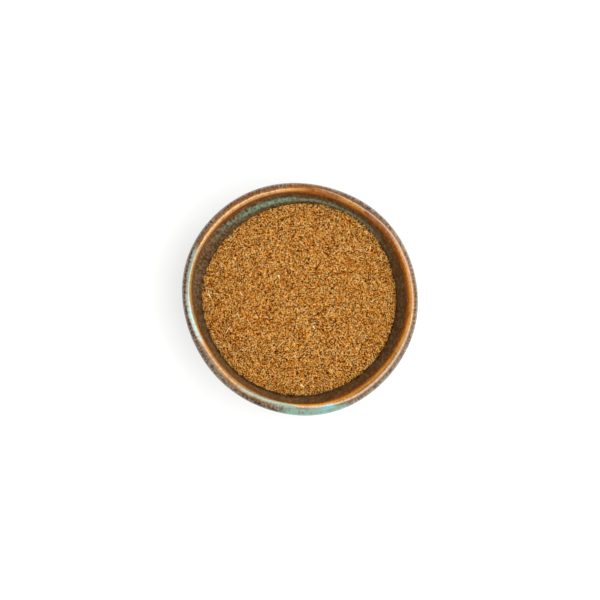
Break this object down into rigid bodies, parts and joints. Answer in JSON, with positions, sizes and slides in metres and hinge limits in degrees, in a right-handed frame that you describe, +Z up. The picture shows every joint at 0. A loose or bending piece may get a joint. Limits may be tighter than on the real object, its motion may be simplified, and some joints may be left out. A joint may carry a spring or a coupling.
{
  "type": "bowl of ground cumin",
  "caption": "Small glazed stoneware bowl on a turned foot, with a thick uneven rounded lip, filled below the lip with coarsely ground cumin.",
  "frame": {"origin": "centre of the bowl's box, on the surface that the foot rests on", "axes": "+Z up out of the bowl; seen from above, +X is to the right of the picture and +Y towards its top edge"},
  "size_m": [0.0898, 0.0884, 0.0386],
  "materials": {
    "glazed_stoneware": "reactive glaze, dark olive brown inside, breaking to amber at the lip, with grey-brown and turquoise patches",
    "ground_cumin": "matt, grainy, golden brown with dark and pale flecks"
  },
  "bodies": {
    "root": {"bowl": "glazed_stoneware", "ground_cumin": "ground_cumin"}
  },
  "joints": []
}
